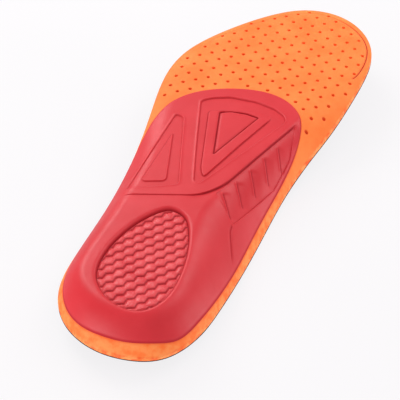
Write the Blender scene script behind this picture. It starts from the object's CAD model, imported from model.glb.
import math

import bpy
import numpy as np
from mathutils import Matrix, Vector, noise
from mathutils.geometry import delaunay_2d_cdt


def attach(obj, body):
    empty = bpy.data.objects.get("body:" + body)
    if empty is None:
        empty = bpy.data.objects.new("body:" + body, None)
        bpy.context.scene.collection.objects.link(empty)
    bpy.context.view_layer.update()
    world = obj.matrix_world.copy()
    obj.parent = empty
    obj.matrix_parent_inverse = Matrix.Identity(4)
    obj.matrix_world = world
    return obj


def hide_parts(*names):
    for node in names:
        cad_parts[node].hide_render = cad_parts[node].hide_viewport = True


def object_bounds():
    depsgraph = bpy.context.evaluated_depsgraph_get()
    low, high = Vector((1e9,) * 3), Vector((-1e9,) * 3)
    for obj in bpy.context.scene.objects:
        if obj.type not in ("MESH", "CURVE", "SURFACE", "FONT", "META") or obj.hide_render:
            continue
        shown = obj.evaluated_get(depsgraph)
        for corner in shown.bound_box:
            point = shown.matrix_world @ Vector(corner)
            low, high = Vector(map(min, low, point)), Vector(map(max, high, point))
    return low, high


# The looks of a cushioned insole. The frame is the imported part: +Z is the foot side, +Y the toe and
# +X the outer side of a right foot. Lengths below are in millimetres until a mesh is made.

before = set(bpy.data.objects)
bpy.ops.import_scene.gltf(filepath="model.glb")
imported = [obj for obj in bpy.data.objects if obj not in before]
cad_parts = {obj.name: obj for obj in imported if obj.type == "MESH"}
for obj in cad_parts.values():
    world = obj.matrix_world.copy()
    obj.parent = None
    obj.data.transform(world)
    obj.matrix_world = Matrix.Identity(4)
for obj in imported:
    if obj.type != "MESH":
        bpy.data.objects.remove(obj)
cad_low, cad_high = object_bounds()

# ---------------------------------------------------------------- the part's driving dimensions
MILLIMETRE = 0.001
MIDDLE = (-0.46, 141.94)  # the part's origin, as x and distance from the heel
SHELL_STEP = 0.9  # how far the shell stands out from the foam
SHELL_ARCH, SHELL_HEEL, SHELL_EDGE = 2.6, 4.6, 1.2  # its thickness
FLOOR_HEEL, FLOOR_ARCH, FLOOR_TOE = 9.5, 8.0, 5.0  # height of the foot bed's middle
WALL_CURVE, BED_CURVE, BED_SPREAD = 1.85, 2.1, 4.0
WINDOW_DEPTH = 3.6
FOAM_DROP, COVER_LAP = 0.35, 0.15  # the foam's rim lies under the foot bed, the knit runs past the rim
HOLE_RADIUS, HOLE_DEPTH = 0.9, 1.2
HOLE_RINGS, HOLE_SIDES = (1.5, 1.2, 1.0, 0.86, 0.55), 14  # rings of mesh points round each hole
HOLE_PITCH, HOLE_COLUMN, HOLE_TURN = 9.1, 6.0, -3.5
HOLE_START, HOLE_MARGIN, FOREFOOT_START = (-11.9, 228.6), 3.0, 168.0

# Round the edge: x, distance from the heel, lower and upper corner of the edge, width of the wall.
STATIONS = [
    (0, 0, 16.5, 20, 16), (15, 3.9, 16.5, 20, 16), (28.3, 13.5, 16.3, 19.8, 15),
    (36, 27, 15.8, 19.2, 14), (38.5, 46, 15, 18.4, 14), (38.3, 80, 12.5, 16, 14),
    (39.3, 112, 8, 12, 13), (43.4, 142, 4, 8, 12), (49.4, 170, 2.4, 6.5, 12),
    (52.9, 195, 2.2, 6.2, 12), (50.8, 214, 2, 6, 12), (43.8, 231.5, 2, 5.9, 10),
    (32.2, 250.5, 2, 5.9, 10), (18.2, 268, 2, 5.9, 10), (2, 280.6, 2, 5.9, 10),
    (-12, 284, 2, 5.9, 10), (-26, 281.3, 1.8, 5.8, 10), (-40, 271.8, 1.8, 5.8, 10),
    (-50, 256, 1.8, 5.8, 10), (-53.6, 236, 1.8, 5.8, 10), (-53.4, 214, 2.8, 7, 14),
    (-50.3, 190, 8, 12.5, 16), (-44.2, 166, 16, 20.5, 15), (-40.5, 142, 22, 26, 17),
    (-40, 115, 25, 28.5, 25), (-41, 80, 23.5, 27, 27), (-41.3, 50, 20, 23.5, 20),
    (-38.3, 24, 17.5, 21, 16), (-28.2, 7.3, 16.7, 20.2, 16), (-13.5, 0.9, 16.5, 20, 16),
]
SHELL_OUTLINE = [
    (-1, 3.5), (14, 6.5), (25, 13.8), (32.6, 26), (35.9, 46), (36.9, 70), (37.8, 92), (39.3, 115),
    (40.9, 135), (41, 150), (37.8, 165), (31, 176), (20, 185), (7, 191), (-6, 193.8),
    (-17, 192.8), (-27, 187.8), (-34, 180), (-38, 168), (-38.6, 150), (-37.6, 127),
    (-37.8, 102), (-39, 77), (-39.3, 55), (-38, 33), (-32.5, 16), (-20, 6.8),
]
GEL_OUTLINE = [
    (1.5, 86), (-6, 84.5), (-13.5, 75), (-20, 57), (-22.5, 40), (-20.5, 25), (-14, 17.3),
    (-4, 16), (7, 20.5), (15, 29), (18.4, 42), (17.3, 57), (13.5, 70), (8.5, 79.5),
]

# ---------------------------------------------------------------- the shell's moulded relief
FOLD = [(29.5, 85.9), (-7.5, 101.2), (-16, 112.5), (-33.4, 175.5)]
SIDE_TURN = [(-28.6, 95.4), (-29.4, 91), (-37.4, 75.5)]
RIB_FIELD = [(-14.6, 105.5), (-28.9, 96), (-36.4, 135), (-37.6, 156), (-33.6, 174)]
RIBS = [
    [(-17.6, 108.6), (-26.6, 97.8)],
    [(-20.9, 119.3), (-28.5, 109.4)],
    [(-23.9, 131.4), (-31, 121.4)],
    [(-27, 143.3), (-33.6, 133.5)],
    [(-30.4, 154.6), (-36.3, 145.6)],
]
RIB_WIDTH = 5.8
BAY = [(-4.2, 109.2), (-0.8, 109.6), (8.3, 132.9), (22.9, 172.4), (18, 177), (9.2, 181.6), (-6.4, 183.4)]
BAY += [(-18, 181.6), (-25.2, 178), (-27.6, 173.6), (-26.5, 170)]
BAY_FRAME = [(15.2, 166), (-0.3, 120), (-4.2, 114.6), (-11.9, 146.2), (-19.2, 173), (-15, 178)]
BAY_PANEL = [(9.3, 167.2), (4, 170.6), (-5, 172.3), (-12.6, 171.4), (-1.7, 133)]
SIDE_BAY = [(29.6, 90), (30, 123), (30.9, 156), (25.6, 155), (15.4, 129), (5.5, 104)]
SIDE_PANEL = [(25.7, 141.6), (12.5, 104), (24.9, 98.4)]
TRIM_LINE = [
    (-48.6, 226.5), (-50.2, 236), (-49.6, 247), (-45.6, 259.5), (-35.5, 270.8), (-22, 277.4),
    (-11.5, 278.6), (3, 274), (16, 263), (29, 246.5), (41, 226),
]
TRIM_FROM, TRIM_DEPTH, TRIM_WIDTH = 227, 0.6, 0.33
CELL_PITCH, CELL_START, CELL_TURN = 5.85, (-0.45, 45.9), 2.7
CELL_FLOOR, CELL_DOME, CELL_TILT, CELL_WOBBLE = 2.2, 0.75, 0.5, 0.15
COS_60, SIN_60 = 0.5, 0.866
BEAD = 0.18
FOLD_DEPTH, SIDE_TURN_DEPTH = 1.2, 0.6
RIB_FIELD_DEPTH, RIB_DEPTH, RIB_BEAD = 1.05, 0.6, 2
BAY_DEPTH, SIDE_BAY_DEPTH, PANEL_DEPTH, GROOVE_DEPTH = 0.7, 0.6, 0.35, 0.7
LIP_DEPTH, LIP_WIDTH, LIP_CURVE = 1.4, 2.2, 2.6


# ---------------------------------------------------------------- plan curves
def centred(points):
    """Plan points given from the heel, moved to the part's origin."""
    return np.array([(x - MIDDLE[0], y - MIDDLE[1], *rest) for x, y, *rest in points], float)


def closed_curve(knots, samples):
    """Evenly spaced samples of the closed cubic spline through knots, whose first two values are x, y."""
    count = len(knots)
    following = np.roll(knots, -1, axis=0)
    step = np.hypot(*(following - knots)[:, :2].T)
    system = np.zeros((count, count))
    wanted = np.zeros_like(knots)
    for i in range(count):
        before, after = step[i - 1], step[i]
        system[i, i - 1] = after
        system[i, i] = 2 * (before + after)
        system[i, (i + 1) % count] = before
        wanted[i] = 3 * after / before * (knots[i] - knots[i - 1])
        wanted[i] += 3 * before / after * (following[i] - knots[i])
    slope = np.linalg.solve(system, wanted)
    start = np.concatenate([[0], np.cumsum(step)])
    along = np.linspace(0, start[-1], samples, endpoint=False)
    span = np.searchsorted(start, along, side="right") - 1
    t = ((along - start[span]) / step[span])[:, None]
    length = step[span][:, None]
    first, last = knots[span], following[span]
    first_slope, last_slope = slope[span] * length, np.roll(slope, -1, axis=0)[span] * length
    curve = first * (1 + 2 * t) * (1 - t) ** 2 + first_slope * t * (1 - t) ** 2
    return curve + last * t**2 * (3 - 2 * t) - last_slope * t**2 * (1 - t)


def spaced(line, gap, closed=False):
    """The same run of straight pieces, cut into even steps."""
    if closed:
        line = np.vstack([line, line[:1]])
    along = np.concatenate([[0], np.cumsum(np.hypot(*np.diff(line, axis=0).T))])
    count = max(int(round(along[-1] / gap)), 2)
    places = np.linspace(0, along[-1], count + 1)[: count if closed else count + 1]
    return np.stack([np.interp(places, along, line[:, 0]), np.interp(places, along, line[:, 1])], axis=1)


def rounded(corners, turn, closed=True):
    """Straight runs between the corners, each corner cut back by turn and rounded."""
    corners = centred(corners)
    count = len(corners)
    line = []
    for i, corner in enumerate(corners):
        if not closed and i in (0, count - 1):
            line.append(corner)
            continue
        back, ahead = corners[i - 1] - corner, corners[(i + 1) % count] - corner
        reach = min(turn, 0.45 * np.hypot(*back), 0.45 * np.hypot(*ahead))
        first = corner + back / np.hypot(*back) * reach
        last = corner + ahead / np.hypot(*ahead) * reach
        for t in np.linspace(0, 1, 8):
            line.append((1 - t) ** 2 * first + 2 * t * (1 - t) * corner + t**2 * last)
    return spaced(np.array(line), 0.5, closed)


def nearest(points, line, closed=False):
    """Each plan point's distance to the line, its side of it (+1 on the left, or inside if closed) and
    its place along it."""
    best = np.full(len(points), np.inf)
    side = np.zeros(len(points))
    along = np.zeros(len(points))
    inside = np.zeros(len(points), bool)
    x, y = points[:, 0], points[:, 1]
    ends = np.roll(line, -1, axis=0) if closed else line[1:]
    for i, (start, end) in enumerate(zip(line, ends)):
        run = end - start
        t = np.clip(((x - start[0]) * run[0] + (y - start[1]) * run[1]) / (run @ run), 0, 1)
        away_x = x - start[0] - t * run[0]
        away_y = y - start[1] - t * run[1]
        distance = np.hypot(away_x, away_y)
        closer = distance < best
        best[closer] = distance[closer]
        side[closer] = (run[0] * away_y - run[1] * away_x)[closer]
        along[closer] = (i + t)[closer]
        if closed and run[1]:
            beyond = x < start[0] + (y - start[1]) * run[0] / run[1]
            inside ^= ((start[1] > y) != (end[1] > y)) & beyond
    side = np.where(inside, 1, -1) if closed else np.sign(side)
    return best, side, along


def depth_in(points, loop):
    """How far each plan point lies inside the closed loop; negative outside."""
    distance, side, _ = nearest(points, loop, closed=True)
    return distance * side


def inset(loop, amount):
    """The closed counterclockwise loop moved inwards."""
    tangent = np.roll(loop, -1, axis=0) - np.roll(loop, 1, axis=0)
    tangent /= np.hypot(*tangent.T)[:, None]
    return loop + amount * np.stack([-tangent[:, 1], tangent[:, 0]], axis=1)


def beside(line, amount, closed=False):
    """The line moved to its left."""
    if closed:
        return inset(line, amount)
    tangent = np.gradient(line, axis=0)
    tangent /= np.hypot(*tangent.T)[:, None]
    return line + amount * np.stack([-tangent[:, 1], tangent[:, 0]], axis=1)


def grid_inside(loop, pitch, margin):
    """Staggered grid of points inside the loop, at least margin from it."""
    low, high = loop.min(axis=0), loop.max(axis=0)
    rows = np.arange(low[1], high[1], pitch * math.sqrt(0.75))
    columns = np.arange(low[0], high[0] + pitch, pitch)
    x, y = np.meshgrid(columns, rows)
    x = x + pitch / 2 * (np.arange(len(rows)) % 2)[:, None]
    points = np.stack([x.ravel(), y.ravel()], axis=1)
    return points[depth_in(points, loop) > margin]


# ---------------------------------------------------------------- the part's surfaces
EDGE = closed_curve(centred(STATIONS), 720)
OUTLINE = EDGE[:, :2]
SHELL = closed_curve(centred(SHELL_OUTLINE), 640)
WINDOW = closed_curve(centred(GEL_OUTLINE), 320)


def smooth(t):
    """Goes from 0 to 1 as t does, level at both ends."""
    t = np.clip(t, 0, 1)
    return t * t * (3 - 2 * t)


def ridge(distance, width):
    """1 on a line and fading away on both sides of it."""
    return np.exp(-((distance / width) ** 2))


def step(inside):
    """A moulded wall: 0 outside and 1 inside, over less than half a millimetre."""
    return smooth((inside + 0.1) / 0.42)


def foot(inside):
    """The narrow crease at the bottom of such a wall."""
    return ridge(inside - 0.3, 0.3)


def bead(inside):
    """The slight swelling along the top of such a wall."""
    return BEAD * ridge(inside + 0.45, 0.32)


def edge_at(points):
    """Depth inside the insole's edge, and the corner heights and wall width of the nearest edge."""
    distance, side, along = nearest(points, OUTLINE, closed=True)
    before = along.astype(int) % len(EDGE)
    t = (along - np.floor(along))[:, None]
    low, high, wall = (EDGE[before, 2:] * (1 - t) + EDGE[(before + 1) % len(EDGE), 2:] * t).T
    return np.maximum(distance * side, 0), low, high, wall


def from_heel(points):
    """How far forward of the heel's end each plan point lies."""
    return points[:, 1] + MIDDLE[1]


def sole_height(points):
    """The underside that the shell and the foam share."""
    depth, low, _, wall = edge_at(points)
    return low * np.clip(1 - depth / wall, 0, None) ** WALL_CURVE


def bed_height(points):
    """The side that the foot rests on."""
    depth, _, high, wall = edge_at(points)
    y = from_heel(points)
    floor = FLOOR_HEEL + (FLOOR_ARCH - FLOOR_HEEL) * smooth((y - 70) / 50)
    floor += (FLOOR_TOE - FLOOR_ARCH) * smooth((y - 145) / 60)
    return floor + (high - floor) * np.clip(1 - depth / (wall + BED_SPREAD), 0, None) ** BED_CURVE


def shell_thickness(points):
    """Thin at the insole's edge and under the arch, thick under the heel."""
    depth = edge_at(points)[0]
    full = SHELL_HEEL + (SHELL_ARCH - SHELL_HEEL) * smooth((from_heel(points) - 85) / 30)
    return SHELL_EDGE + (full - SHELL_EDGE) * smooth((depth - 4) / 12)


def hidden_face(points):
    """Where the shell and the foam meet under the shell's relief."""
    full = np.maximum(shell_thickness(points), SHELL_STEP + 0.3)
    return sole_height(points) + full + 1.3 * smooth((depth_in(points, SHELL) - 0.6) / 1.4)


def hole_centres():
    """Staggered columns of holes over the forefoot, clear of the edge and of the shell."""
    turn = math.radians(HOLE_TURN)
    lengthwise = np.array([-math.sin(turn), math.cos(turn)])
    across = np.array([math.cos(turn), math.sin(turn)])
    columns, rows = np.meshgrid(np.arange(-12, 13), np.arange(-9, 8))
    shift = rows + (columns % 2) / 2
    start = np.array(HOLE_START) - MIDDLE
    grid = start + columns[..., None] * HOLE_COLUMN * across + shift[..., None] * HOLE_PITCH * lengthwise
    grid = grid.reshape(-1, 2)
    clear = (depth_in(grid, OUTLINE) > HOLE_MARGIN) & (depth_in(grid, SHELL) < -HOLE_MARGIN / 2)
    return grid[clear & (from_heel(grid) > FOREFOOT_START)]


# ---------------------------------------------------------------- meshes
def triangles_over(loop, fill):
    """The loop's points then the fill's, and triangles over them inside the loop."""
    points = np.vstack([loop, fill])
    count = len(loop)
    edges = [(i, (i + 1) % count) for i in range(count)]
    flat = [Vector(point) for point in points]
    _, _, faces, origin, _, _ = delaunay_2d_cdt(flat, edges, [list(range(count))], 1, 1e-6)
    first = [ids[0] for ids in origin]
    return points, [[first[i] for i in face] for face in faces]


def add_mesh(name, vertices, faces, sharp):
    """A mesh object from millimetre vertices, shaded smooth but for edges sharper than sharp degrees."""
    mesh = bpy.data.meshes.new(name)
    mesh.from_pydata((np.asarray(vertices) * MILLIMETRE).tolist(), [], faces)
    mesh.validate()
    mesh.shade_smooth()
    mesh.set_sharp_from_angle(angle=math.radians(sharp))
    piece = bpy.data.objects.new(name, mesh)
    bpy.context.scene.collection.objects.link(piece)
    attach(piece, "root")
    return piece


def slab(name, loop, lower_fill, lower_z, upper_fill, upper_z, rings, sharp=38):
    """A closed mesh between two height fields over the same loop, joined by rings of points."""
    lower, lower_faces = triangles_over(loop, lower_fill)
    upper, upper_faces = triangles_over(loop, upper_fill)
    count = len(loop)
    vertices = [np.column_stack([lower, lower_z(lower)])]
    faces = [face[::-1] for face in lower_faces]
    start = len(lower)
    previous = np.arange(count)
    for ring in rings:
        vertices.append(ring)
        current = start + np.arange(count)
        start += count
        faces += bridge(previous, current)
        previous = current
    vertices.append(np.column_stack([upper, upper_z(upper)]))
    faces += bridge(previous, start + np.arange(count))
    faces += [[start + i for i in face] for face in upper_faces]
    return add_mesh(name, np.vstack(vertices), faces, sharp)


def mark(piece, name, amounts):
    """Stores values for the piece's material to read: one for each of its first vertices, then 0."""
    values = np.zeros(len(piece.data.vertices))
    values[: len(amounts)] = amounts
    piece.data.attributes.new(name, "FLOAT", "POINT").data.foreach_set("value", values)


def bridge(lower, upper):
    """Faces between two rings of vertex numbers."""
    ahead = np.roll(lower, -1)
    above = np.roll(upper, -1)
    return [list(map(int, quad)) for quad in zip(lower, ahead, above, upper)]


def away_from(points, others, gap):
    """The points at least gap from every one of the others."""
    cell = {}
    for i, (x, y) in enumerate(others):
        cell.setdefault((int(x // gap), int(y // gap)), []).append(i)
    keep = []
    for point in points:
        column, row = int(point[0] // gap), int(point[1] // gap)
        near = [
            i
            for a in (-1, 0, 1)
            for b in (-1, 0, 1)
            for i in cell.get((column + a, row + b), ())
        ]
        keep.append(not near or np.hypot(*(others[near] - point).T).min() > gap)
    return points[np.array(keep)]


# ---------------------------------------------------------------- relief of the shell
class Relief:
    """Depth of the shell's moulded features under its plain surface, in plan."""

    def __init__(self):
        self.fold = rounded(FOLD, 8, closed=False)
        self.side_turn = rounded(SIDE_TURN, 3, closed=False)
        self.rib_field = rounded(RIB_FIELD, 1.5)
        self.bay = rounded(BAY, 2.2)
        self.bay_frame = rounded(BAY_FRAME, 2.4)
        self.bay_panel = rounded(BAY_PANEL, 1.1)
        self.side_bay = rounded(SIDE_BAY, 2.2)
        self.side_panel = rounded(SIDE_PANEL, 3.2)
        self.ribs = [spaced(centred(rib), 0.6) for rib in RIBS]

    def guides(self):
        """Points along every feature's slopes, so that the mesh follows them."""
        bays = (self.bay, self.bay_frame, self.bay_panel, self.side_bay, self.side_panel)
        lines = []
        for loop in (self.rib_field, *bays):
            offsets = (-0.75, -0.45, -0.25, -0.05, 0.15, 0.35, 0.65)
            lines += [beside(loop, amount, closed=True) for amount in offsets]
        for line in (self.fold, self.side_turn, *self.ribs):
            offsets = (-0.6, -0.3, -0.1, 0.1, 0.3, 0.5, 0.8)
            lines += [beside(line, amount) for amount in offsets]
        points = lines[0]
        for line in lines[1:]:
            points = np.vstack([points, away_from(line, points, 0.14)])
        return points

    def depth(self, points):
        """How far each point sinks, and how deep in a crease it is from 0 to 1."""
        # The plate in front of the fold stands proud, and the heel side rises back to meet it.
        distance, side, along = nearest(points, self.fold)
        past = distance * side
        ends = smooth(along / 8) * smooth((len(self.fold) - 1 - along) / 12)
        ends *= 1 - 0.6 * smooth((points[:, 0] + 14) / 16)
        falling = np.exp(-np.clip(past - 0.4, 0, None) / 4)
        deep = BEAD + FOLD_DEPTH * step(past) * falling * ends - bead(past) * ends
        crease = foot(past) * ends
        deep, crease = self.add_ribs(points, past, deep, crease)
        deep, crease = self.add_bay(points, past, deep, crease)
        deep, crease = self.add_side_bay(points, past, deep, crease)
        distance, _, along = nearest(points, self.side_turn)
        fade = smooth((len(self.side_turn) - 1 - along) / 14) * smooth(along / 2)
        deep += SIDE_TURN_DEPTH * ridge(distance, 0.5) * fade
        crease = np.maximum(crease, 0.5 * ridge(distance, 0.4) * fade)
        return np.maximum(deep, 0), crease

    def add_ribs(self, points, past, deep, crease):
        """The sunk field behind the fold, and the slanted ribs that step down across it."""
        inside = depth_in(points, self.rib_field)
        deep = np.maximum(deep, BEAD + RIB_FIELD_DEPTH * smooth((inside + 0.2) / 0.8))
        low_side = smooth((past - 6) / 3) * smooth((138 - from_heel(points)) / 18)
        crease = np.maximum(crease, 0.4 * foot(inside) * low_side)
        for rib in self.ribs:
            run = rib[-1] - rib[0]
            length = np.hypot(*run)
            run = run / length
            u = (points - rib[0]) @ run
            v = (points - rib[0]) @ np.array([run[1], -run[0]])
            within = smooth((u + 0.2) / 0.7) * smooth((length - u + 0.4) / 1.6)
            rising = 1 - smooth((v - 0.4) / RIB_WIDTH)
            deep += within * (RIB_DEPTH * step(v) * rising - RIB_BEAD * bead(v))
            crease = np.maximum(crease, within * foot(v))
        return deep, crease

    def add_bay(self, points, past, deep, crease):
        """The middle bay, the proud frame inside it, open towards the toe, and the grooved panel."""
        inside = depth_in(points, self.bay)
        ahead = smooth((np.clip(-past, 0, None) - 1.5) / 4)
        raised_inside = depth_in(points, self.bay_frame)
        open_end = 1 - smooth((from_heel(points) - 168) / 8)
        raised = step(raised_inside) * open_end
        deep += (BAY_DEPTH * step(inside) * (1 - raised) - bead(inside)) * ahead
        crease = np.maximum(crease, 0.25 * foot(inside) * ahead)
        crease = np.maximum(crease, 0.7 * foot(-raised_inside) * open_end)
        inside = depth_in(points, self.bay_panel)
        deep += PANEL_DEPTH * step(inside) + GROOVE_DEPTH * ridge(inside - 0.15, 0.45)
        return deep, np.maximum(crease, ridge(inside - 0.15, 0.4))

    def add_side_bay(self, points, past, deep, crease):
        """The bay on the outer side, with a proud panel inside it."""
        inside = depth_in(points, self.side_bay)
        ahead = smooth((np.clip(-past, 0, None) - 2) / 5)
        raised_inside = depth_in(points, self.side_panel)
        deep += (SIDE_BAY_DEPTH * step(inside) * (1 - step(raised_inside)) - bead(inside)) * ahead
        crease = np.maximum(crease, 0.15 * foot(inside) * ahead)
        return deep, np.maximum(crease, 0.3 * foot(-raised_inside))


# ---------------------------------------------------------------- pieces
def make_foam():
    """The foot bed: perforated underside, pressed trim line near the toe and a rough cut rim."""
    holes = hole_centres()
    loop = inset(OUTLINE, 0.4)
    trim = closed_curve(centred(TRIM_LINE), 600)
    trim = spaced(trim[from_heel(trim) > TRIM_FROM], 0.6)
    angles = np.linspace(0, 2 * math.pi, HOLE_SIDES, endpoint=False)
    circle = np.stack([np.cos(angles), np.sin(angles)], axis=1)
    rings = [(holes[:, None] + radius * circle).reshape(-1, 2) for radius in HOLE_RINGS]
    trim_points = np.vstack([beside(trim, amount) for amount in (-0.6, -0.3, -0.1, 0.1, 0.3, 0.6)])
    trim_points = away_from(trim_points, holes, 1.7)
    shell_edge = np.vstack([inset(SHELL, amount) for amount in (-1.4, -0.9, -0.5, -0.1, 0.3, 0.8)])
    grid = grid_inside(loop, 1.3, 0.9)
    covered = depth_in(grid, SHELL)
    grid = grid[(covered < -0.8) | ((covered > 1.4) & (np.arange(len(grid)) % 5 == 0))]
    grid = away_from(grid, holes, 1.8)
    grid = away_from(grid, np.vstack([trim_points, shell_edge]), 0.75)
    lower_fill = np.vstack([holes, *rings, trim_points, shell_edge, grid])

    def to_hole(points):
        """Each point's distance to the nearest hole's centre."""
        away = np.full(len(points), np.inf)
        for hole in holes:
            away = np.minimum(away, np.hypot(*(points - hole).T))
        return away

    def trimmed(points):
        """1 in the pressed trim line near the toe, fading away from it."""
        distance, _, along = nearest(points, trim)
        faint = 1 - 0.8 * smooth((along - 70) / 60)
        return ridge(distance, TRIM_WIDTH) * faint

    def lower_z(points):
        height = sole_height(points) + SHELL_STEP
        covered = depth_in(points, SHELL)
        height = np.where(covered > 0.2, hidden_face(points), height)
        away = to_hole(points)
        height += 0.3 * np.clip(1 - (away - 0.86) / 0.65, 0, 1) ** 2
        height += HOLE_DEPTH * (away < HOLE_RADIUS)
        return height + TRIM_DEPTH * trimmed(points) * (away > 1.6)

    def upper_z(points):
        depth = depth_in(points, OUTLINE)
        return bed_height(points) - FOAM_DROP - 0.6 * smooth((depth - 0.6) / 1)

    # Rings up the cut rim: how far each is set in, its share of the rim's height, and a lift.
    low, high = EDGE[:, 2] + SHELL_STEP, EDGE[:, 3] - FOAM_DROP
    edge_rings = []
    for inward, share, lift in (
        (0.2, 0, -0.1), (0.05, 0, 0.06), (0, 0, 0.32), (-0.06, 0.2, 0), (-0.1, 0.4, 0),
        (-0.1, 0.6, 0), (-0.06, 0.8, 0), (0, 1, -0.3), (0.06, 1, -0.1), (0.2, 1, -0.02),
    ):
        place = inset(OUTLINE, inward)
        height = low + (high - low) * share + lift
        rough = [0.07 * noise.noise(Vector((x, y, z)) * 0.35) for (x, y), z in zip(place, height)]
        place = place + (inset(OUTLINE, 1) - OUTLINE) * np.array(rough)[:, None]
        edge_rings.append(np.column_stack([place, height]))
    upper_fill = grid_inside(loop, 4, 2)
    piece = slab("foam_cushion", loop, lower_fill, lower_z, upper_fill, upper_z, edge_rings)
    lower = np.vstack([loop, lower_fill])
    # Crease marks go on from 1 to 2 for the brown of the trim line. Holes get fainter towards the toe.
    shade = np.interp(from_heel(lower), (160, 205, 260), (1.5, 1.0, 0.5))
    marks = shade * np.clip((1.25 - to_hole(lower)) / 0.45, 0, 1)
    marks = np.maximum(marks, 2 * trimmed(lower))
    marks = np.maximum(marks, 0.7 * ridge(depth_in(lower, SHELL) + 0.1, 0.35))
    rim = [Vector(place) for place in np.vstack(edge_rings)]
    nicks = [noise.noise(place * 0.3) + 0.6 * noise.noise(place) for place in rim]
    nicks = 0.65 * smooth((np.array(nicks) - 0.04) / 0.4)
    mark(piece, "crease", np.concatenate([marks, nicks]))
    skived = smooth((9 - depth_in(lower, OUTLINE)) / 3) * smooth((165 - from_heel(lower)) / 40)
    mark(piece, "cut", np.concatenate([0.6 * skived, np.ones(len(nicks))]))
    return piece


def make_shell(relief):
    """The moulded shell, with its relief, a rolled edge and a window for the gel pad."""
    guides = relief.guides()
    guides = guides[(depth_in(guides, SHELL) > 0.6) & (depth_in(guides, WINDOW) < -1)]
    roll = np.vstack([inset(SHELL, amount) for amount in (0.12, 0.3, 0.55, 0.9, 1.4)])
    lip = np.vstack([inset(WINDOW, amount) for amount in (-2.6, -2, -1.4, -0.9, -0.5, -0.2, 0, 0.12)])
    grid = grid_inside(SHELL, 0.8, 1.7)
    opening = depth_in(grid, WINDOW)
    grid = grid[(opening < -3) | ((opening > 1) & (np.arange(len(grid)) % 9 == 0))]
    guides = away_from(guides, np.vstack([roll, lip]), 0.25)
    grid = away_from(grid, guides, 0.45)
    lower_fill = np.vstack([roll, lip, guides, grid])

    def lower_z(points):
        depth = np.clip(depth_in(points, SHELL), 0, None)
        height = sole_height(points) + relief.depth(points)[0] * smooth(depth / 1.6)
        rolled = np.sqrt(np.clip(1 - (1 - np.clip(depth / 1.4, 0, 1)) ** 2, 0, 1))
        height += SHELL_STEP * (1 - rolled)
        opening = -depth_in(points, WINDOW)
        height += LIP_DEPTH * np.clip(1 - opening / LIP_WIDTH, 0, 1) ** LIP_CURVE * (opening > -0.06)
        height = np.minimum(height, hidden_face(points) - 0.3)
        return np.where(opening < -0.06, WINDOW_DEPTH, height)

    rings = [np.column_stack([SHELL, sole_height(SHELL) + SHELL_STEP + 0.12])]
    upper_fill = grid_inside(SHELL, 3, 2)
    piece = slab("moulded_shell", SHELL, lower_fill, lower_z, upper_fill, hidden_face, rings)
    lower = np.vstack([SHELL, lower_fill])
    opening = -depth_in(lower, WINDOW)
    window_edge = 0.75 * ridge(np.clip(opening, 0, None), 0.5)
    marks = np.maximum(relief.depth(lower)[1] * (opening > 0), window_edge)
    mark(piece, "crease", np.maximum(marks, 0.6 * ridge(depth_in(lower, SHELL), 0.4)))
    return piece


def make_gel():
    """The gel pad, with a face of domed six-sided cells that lean towards the heel."""
    loop = inset(WINDOW, 0.16)
    fill = grid_inside(loop, 0.36, 0.3)
    turn = math.radians(CELL_TURN)
    across = np.array([math.cos(turn), math.sin(turn)])
    lengthwise = np.array([-math.sin(turn), math.cos(turn)])
    start = np.array(CELL_START) - MIDDLE
    row_step = CELL_PITCH * math.sqrt(0.75)

    def cells(points):
        """How near each point is to the zigzag between rows and to the sides within a row, from 0 to 1,
        and how far it lies towards the inner heel within its cell."""
        u = (points - start) @ across
        v = (points - start) @ lengthwise
        best = np.full(len(points), np.inf)
        zigzag, beside_next, down = np.zeros((3, len(points)))
        for shift in (0, 1):
            row = np.round((v / row_step - shift) / 2) * 2 + shift
            column = np.round(u / CELL_PITCH - shift / 2) + shift / 2
            du, dv = u - column * CELL_PITCH, v - row * row_step
            in_row = abs(du * COS_60 - dv * SIN_60)
            between_rows = np.maximum(abs(du), abs(du * COS_60 + dv * SIN_60))
            reach = np.maximum(in_row, between_rows)
            closer = reach < best
            best = np.where(closer, reach, best)
            zigzag = np.where(closer, between_rows / (CELL_PITCH / 2), zigzag)
            beside_next = np.where(closer, in_row / (CELL_PITCH / 2), beside_next)
            down = np.where(closer, -(du * SIN_60 + dv * COS_60) / row_step, down)
        return np.clip(zigzag, 0, 1), np.clip(beside_next, 0, 1), down

    def lower_z(points):
        zigzag, beside_next, down = cells(points)
        rim = smooth((depth_in(points, WINDOW) - 0.2) / 1.2)
        wobble = np.array([noise.noise(Vector((x, y, 0)) * 0.22) for x, y in points])
        dome = (1 - zigzag**3) * (1 - 0.3 * beside_next**3)
        return CELL_FLOOR - (CELL_DOME * dome + CELL_TILT * down + CELL_WOBBLE * wobble) * rim

    def upper_z(points):
        return np.full(len(points), WINDOW_DEPTH - 0.02)

    rings = [np.column_stack([loop, np.full(len(loop), 2.6)])]
    piece = slab("gel_pad", loop, fill, lower_z, grid_inside(loop, 3, 1.5), upper_z, rings, sharp=60)
    lower = np.vstack([loop, fill])
    zigzag, _, down = cells(lower)
    mark(piece, "crease", smooth((zigzag - 0.66) / 0.34) * smooth((down + 0.45) / 0.6))
    return piece


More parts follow.
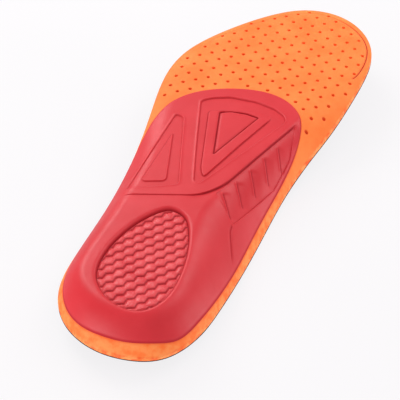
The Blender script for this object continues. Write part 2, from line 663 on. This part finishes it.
def make_cover():
    """The knit fabric on the foot bed, a little wider than the foam."""
    loop = inset(OUTLINE, -COVER_LAP)
    upper_rings = [inset(OUTLINE, amount) for amount in (0, 0.35, 0.8, 1.4)]
    upper_fill = np.vstack([*upper_rings, grid_inside(loop, 1.7, 2.4)])
    lower_rings = [inset(OUTLINE, amount) for amount in (0.5, 1.1, 1.7)]
    lower_fill = np.vstack([*lower_rings, grid_inside(loop, 3.4, 3)])

    def upper_z(points):
        depth = depth_in(points, OUTLINE)
        uneven = np.array([noise.noise(Vector((x, y, 5)) * 0.06) for x, y in points])
        turned = np.clip(1 - (depth + COVER_LAP) / 0.5, 0, 1) ** 2
        return bed_height(points) - 0.1 * turned + 0.12 * uneven

    def lower_z(points):
        depth = depth_in(points, OUTLINE)
        return bed_height(points) - 0.27 - 0.58 * smooth((depth - 0.65) / 1)

    return slab("knit_cover", loop, lower_fill, lower_z, upper_fill, upper_z, [])


# ---------------------------------------------------------------- materials
# Colours are linear. Each material has two tones that mix in patches and some for its deeper places.
FOAM_DEEP, FOAM_PALE, FOAM_PORE = (0.99, 0.195, 0.033), (1.0, 0.25, 0.052), (0.93, 0.18, 0.03)
FOAM_CUT_DEEP, FOAM_CUT_PALE = (0.95, 0.13, 0.016), (1.0, 0.36, 0.11)
FOAM_CREASE, FOAM_BROWN, FOAM_GLOW = (0.74, 0.06, 0.012), (0.3, 0.03, 0.02), (1.0, 0.16, 0.03, 1)
SHELL_DEEP, SHELL_PALE, SHELL_CREASE = (0.67, 0.014, 0.024), (0.73, 0.023, 0.035), (0.26, 0.004, 0.012)
GEL_DEEP, GEL_PALE, GEL_CREASE = (0.74, 0.04, 0.052), (0.84, 0.08, 0.09), (0.24, 0.004, 0.012)
KNIT_DEEP, KNIT_PALE = (0.006, 0.0045, 0.0068), (0.019, 0.0145, 0.021)
WALE, COURSE = 0.0011, 0.0010  # the knit's stitches, in metres
GROUND_DEEP, GROUND_PALE, GROUND_GLOW = (0.12, 0.118, 0.12), (0.135, 0.133, 0.135), (1, 0.985, 1, 1)


class Nodes:
    """A short way to write a material's node tree."""

    def __init__(self, name):
        self.material = bpy.data.materials.new(name)
        self.material.use_nodes = True
        self.tree = self.material.node_tree
        self.shader = self.tree.nodes["Principled BSDF"]
        self.place = self.add("ShaderNodeTexCoord").outputs["Object"]

    def add(self, kind, inputs=None, **settings):
        node = self.tree.nodes.new(kind)
        for key, value in settings.items():
            setattr(node, key, value)
        for key, value in (inputs or {}).items():
            if isinstance(value, bpy.types.NodeSocket):
                self.tree.links.new(value, node.inputs[key])
            else:
                node.inputs[key].default_value = value
        return node

    def set(self, **values):
        for key, value in values.items():
            self.shader.inputs[key.replace("_", " ")].default_value = value

    def link(self, output, name):
        self.tree.links.new(output, self.shader.inputs[name])

    def marked(self, name):
        """The value that mark() stored on the piece under this name."""
        return self.add("ShaderNodeAttribute", attribute_name=name).outputs["Fac"]

    def noise(self, scale, detail=3.0, rough=0.55):
        node = self.add("ShaderNodeTexNoise", {"Vector": self.place, "Scale": scale, "Detail": detail})
        node.inputs["Roughness"].default_value = rough
        return node.outputs["Fac"]

    def stretch(self, value, low, high, to_low=0.0, to_high=1.0):
        """value remapped from low..high to to_low..to_high."""
        span = {"Value": value, "From Min": low, "From Max": high, "To Min": to_low, "To Max": to_high}
        return self.add("ShaderNodeMapRange", span).outputs["Result"]

    def mix(self, share, first, second):
        node = self.add("ShaderNodeMix", data_type="RGBA")
        self.tree.links.new(share, node.inputs[0])
        for slot, colour in ((6, first), (7, second)):
            if isinstance(colour, bpy.types.NodeSocket):
                self.tree.links.new(colour, node.inputs[slot])
            else:
                node.inputs[slot].default_value = (*colour, 1)
        return node.outputs[2]

    def math(self, operation, first, second=None):
        node = self.add("ShaderNodeMath", operation=operation)
        for slot, value in ((0, first), (1, second)):
            if isinstance(value, bpy.types.NodeSocket):
                self.tree.links.new(value, node.inputs[slot])
            elif value is not None:
                node.inputs[slot].default_value = value
        return node.outputs[0]

    def bump(self, height, distance, strength=1.0, before=None):
        inputs = {"Height": height, "Distance": distance, "Strength": strength}
        if before is not None:
            inputs["Normal"] = before
        return self.add("ShaderNodeBump", inputs).outputs["Normal"]


def foam_material():
    """Closed-cell foam in a fluorescent dye: fine pores, patchy colour and a matte skin."""
    make = Nodes("foam_orange")
    patches = make.stretch(make.noise(70, 4), 0.35, 0.65)
    colour = make.mix(patches, FOAM_DEEP, FOAM_PALE)
    pores = make.add("ShaderNodeTexVoronoi", {"Vector": make.place, "Scale": 1500.0}).outputs["Distance"]
    spots = make.stretch(pores, 0.02, 0.2)
    colour = make.mix(spots, FOAM_PORE, colour)
    mottle = make.mix(make.stretch(make.noise(230, 5, 0.6), 0.4, 0.6), FOAM_CUT_DEEP, FOAM_CUT_PALE)
    cut = make.marked("cut")
    colour = make.mix(make.math("MULTIPLY", cut, 0.75), colour, mottle)
    crease = make.marked("crease")
    colour = make.mix(make.stretch(crease, 0.0, 1.0, 0.0, 0.85), colour, FOAM_CREASE)
    colour = make.mix(make.stretch(crease, 1.0, 2.0), colour, FOAM_BROWN)
    make.link(colour, "Base Color")
    make.set(Roughness=0.68, Subsurface_Weight=0.12, Subsurface_Scale=0.0015, Specular_IOR_Level=0.3)
    make.set(Emission_Strength=0.12)
    make.shader.inputs["Emission Color"].default_value = FOAM_GLOW
    make.shader.inputs["Subsurface Radius"].default_value = (1.0, 0.35, 0.12)
    grain = make.bump(make.noise(2600, 3), 0.00006)
    make.link(make.bump(pores, 0.00004, 0.6, grain), "Normal")
    return make.material


def shell_material():
    """Moulded foam rubber: satin skin with a fine grain."""
    make = Nodes("shell_red")
    patches = make.stretch(make.noise(45, 4), 0.3, 0.7)
    colour = make.mix(patches, SHELL_DEEP, SHELL_PALE)
    crease = make.marked("crease")
    colour = make.mix(make.math("MULTIPLY", crease, 0.8), colour, SHELL_CREASE)
    make.link(colour, "Base Color")
    satin = make.stretch(make.noise(160, 3), 0.3, 0.7, 0.36, 0.46)
    make.link(make.math("ADD", satin, make.stretch(crease, 0.0, 0.5, 0.0, 0.5)), "Roughness")
    make.set(Subsurface_Weight=0.06, Subsurface_Scale=0.0012, Specular_IOR_Level=0.42)
    make.shader.inputs["Subsurface Radius"].default_value = (1.0, 0.2, 0.15)
    grain = make.bump(make.noise(1800, 4, 0.65), 0.00005)
    make.link(make.bump(make.noise(320, 2), 0.00008, 0.5, grain), "Normal")
    return make.material


def gel_material():
    """Tacky gel, tinted as clear gel looks over the red shell."""
    make = Nodes("gel_clear")
    haze = make.stretch(make.noise(120, 3), 0.35, 0.7)
    colour = make.mix(haze, GEL_DEEP, GEL_PALE)
    crease = make.marked("crease")
    colour = make.mix(make.math("MULTIPLY", crease, 0.68), colour, GEL_CREASE)
    make.link(colour, "Base Color")
    tacky = make.stretch(make.noise(900, 3), 0.35, 0.65, 0.2, 0.55)
    make.link(make.math("ADD", tacky, make.stretch(crease, 0.0, 0.5, 0.0, 0.5)), "Roughness")
    make.set(Specular_IOR_Level=0.34, Coat_Weight=0.1, Coat_Roughness=0.08)
    sparkle = make.bump(make.noise(1500, 2), 0.00022, 0.9)
    make.link(sparkle, "Normal")
    make.link(sparkle, "Coat Normal")
    return make.material


def knit_material():
    """Fine warp knit: rows of small loops with a soft sheen."""
    make = Nodes("knit_black")
    parts = make.add("ShaderNodeSeparateXYZ", {"Vector": make.place}).outputs
    wales = make.math("SINE", make.math("MULTIPLY", parts["X"], 2 * math.pi / WALE))
    lean = make.math("MULTIPLY", make.math("ABSOLUTE", wales), 1.6)
    rows = make.math("ADD", make.math("MULTIPLY", parts["Y"], 2 * math.pi / COURSE), lean)
    loops = make.math("MULTIPLY", make.math("ABSOLUTE", wales), make.math("SINE", rows))
    loops = make.stretch(loops, -1.0, 1.0)
    fuzz = make.noise(900, 4, 0.7)
    shade = make.math("MULTIPLY", loops, make.stretch(fuzz, 0.3, 0.7, 0.6, 1.1))
    colour = make.mix(shade, KNIT_DEEP, KNIT_PALE)
    make.link(colour, "Base Color")
    make.set(Roughness=0.92, Sheen_Weight=0.06, Sheen_Roughness=0.4, Specular_IOR_Level=0.12)
    weave = make.bump(loops, 0.00016, 0.9)
    make.link(make.bump(fuzz, 0.00012, 0.5, weave), "Normal")
    return make.material


def dress(piece, material, slot, *nodes):
    """Gives the piece its material and says which CAD nodes it stands for."""
    piece.data.materials.clear()
    piece.data.materials.append(material)
    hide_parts(*nodes)


# ---------------------------------------------------------------- build
foam = make_foam()
shell = make_shell(Relief())
gel = make_gel()
cover = make_cover()
dress(foam, foam_material(), "foam_orange", "foam_body")
dress(shell, shell_material(), "shell_red", "support_shell")
dress(gel, gel_material(), "gel_clear", "heel_gel_pad")
dress(cover, knit_material(), "knit_black", "top_cover")


# ---------------------------------------------------------------- ground, lights and camera
GROUND_REACH = 8.0
GROUND_GAP = 0.0006


def one_way_ground(name, height, faces_up):
    """A pale ground that only the camera sees, and only from its own side."""
    mesh = bpy.data.meshes.new(name)
    sides = ((-1, -1), (1, -1), (1, 1), (-1, 1))
    corners = [(x * GROUND_REACH, y * GROUND_REACH, height) for x, y in sides]
    mesh.from_pydata(corners, [], [(0, 1, 2, 3) if faces_up else (3, 2, 1, 0)])
    ground = bpy.data.objects.new(name, mesh)
    bpy.context.scene.collection.objects.link(ground)
    make = Nodes(name)
    tone = make.mix(make.stretch(make.noise(3, 3), 0.3, 0.7), GROUND_DEEP, GROUND_PALE)
    make.link(tone, "Base Color")
    make.set(Roughness=0.9, Specular_IOR_Level=0.1, Emission_Strength=0.83)
    make.shader.inputs["Emission Color"].default_value = GROUND_GLOW
    clear = make.add("ShaderNodeBsdfTransparent").outputs[0]
    behind = make.add("ShaderNodeNewGeometry").outputs["Backfacing"]
    both = make.add("ShaderNodeMixShader", {0: behind, 1: make.shader.outputs[0], 2: clear})
    output = make.tree.nodes["Material Output"]
    make.tree.links.new(both.outputs[0], output.inputs["Surface"])
    mesh.materials.append(make.material)
    ground.visible_diffuse = False
    ground.visible_glossy = False
    ground.visible_transmission = False
    ground.visible_shadow = False


one_way_ground("ground_foot_side", cad_high.z + GROUND_GAP, faces_up=False)
one_way_ground("ground", 0.0, faces_up=True)


def area_light(name, place, size, power, colour=(1, 1, 1)):
    """A square soft light aimed at the origin."""
    light = bpy.data.lights.new(name, "AREA")
    light.size = size
    light.energy = power
    light.color = colour
    lamp = bpy.data.objects.new(name, light)
    lamp.location = place
    lamp.rotation_euler = (-Vector(place)).to_track_quat("-Z", "Y").to_euler()
    bpy.context.scene.collection.objects.link(lamp)


world = bpy.data.worlds.new("studio")
world.use_nodes = True
world.node_tree.nodes["Background"].inputs["Color"].default_value = (1, 0.99, 1, 1)
world.node_tree.nodes["Background"].inputs["Strength"].default_value = 0.62
bpy.context.scene.world = world
bpy.context.scene.view_settings.view_transform = "Standard"

# The camera looks up at the sole from under the heel. Its three axes are set outright, because the
# sole is upright in the picture when the part's +Z points away from the viewer. It is then turned a
# little aside and down to frame the insole as the photograph does.
EYE = Vector((-208.0, -481.9, -454.9)) * MILLIMETRE
ACROSS = Vector((-0.917, 0.399, 0.0)).normalized()
FORWARD = Vector((0.2916, 0.6706, 0.6820)).normalized()
RISE = ACROSS.cross(FORWARD).normalized()
ASIDE, DOWN = 0.0117096, 0.0078064
AIM = (FORWARD - ACROSS * ASIDE - RISE * DOWN).normalized()
side = AIM.cross(RISE).normalized()
rise = side.cross(AIM).normalized()
camera = bpy.data.objects.new("camera", bpy.data.cameras.new("camera"))
camera.data.sensor_width = 36
camera.data.lens = 115.3
camera.data.clip_end = 50
camera.matrix_world = Matrix.Translation(EYE) @ Matrix((side, rise, -AIM)).transposed().to_4x4()
bpy.context.scene.collection.objects.link(camera)
bpy.context.scene.camera = camera

area_light("key_under", (0.60, 0.40, -0.60), 0.5, 4.3, (1, 0.98, 0.97))
area_light("top_under", (-0.38, 0.58, -0.66), 0.5, 2.4)
area_light("side_under", (-0.86, 0.34, 0.19), 0.6, 2.6)
area_light("heel_under", (0.42, -0.82, 0.02), 0.6, 4.0)
area_light("key_over", (-0.55, -0.35, 0.85), 0.6, 3.5)
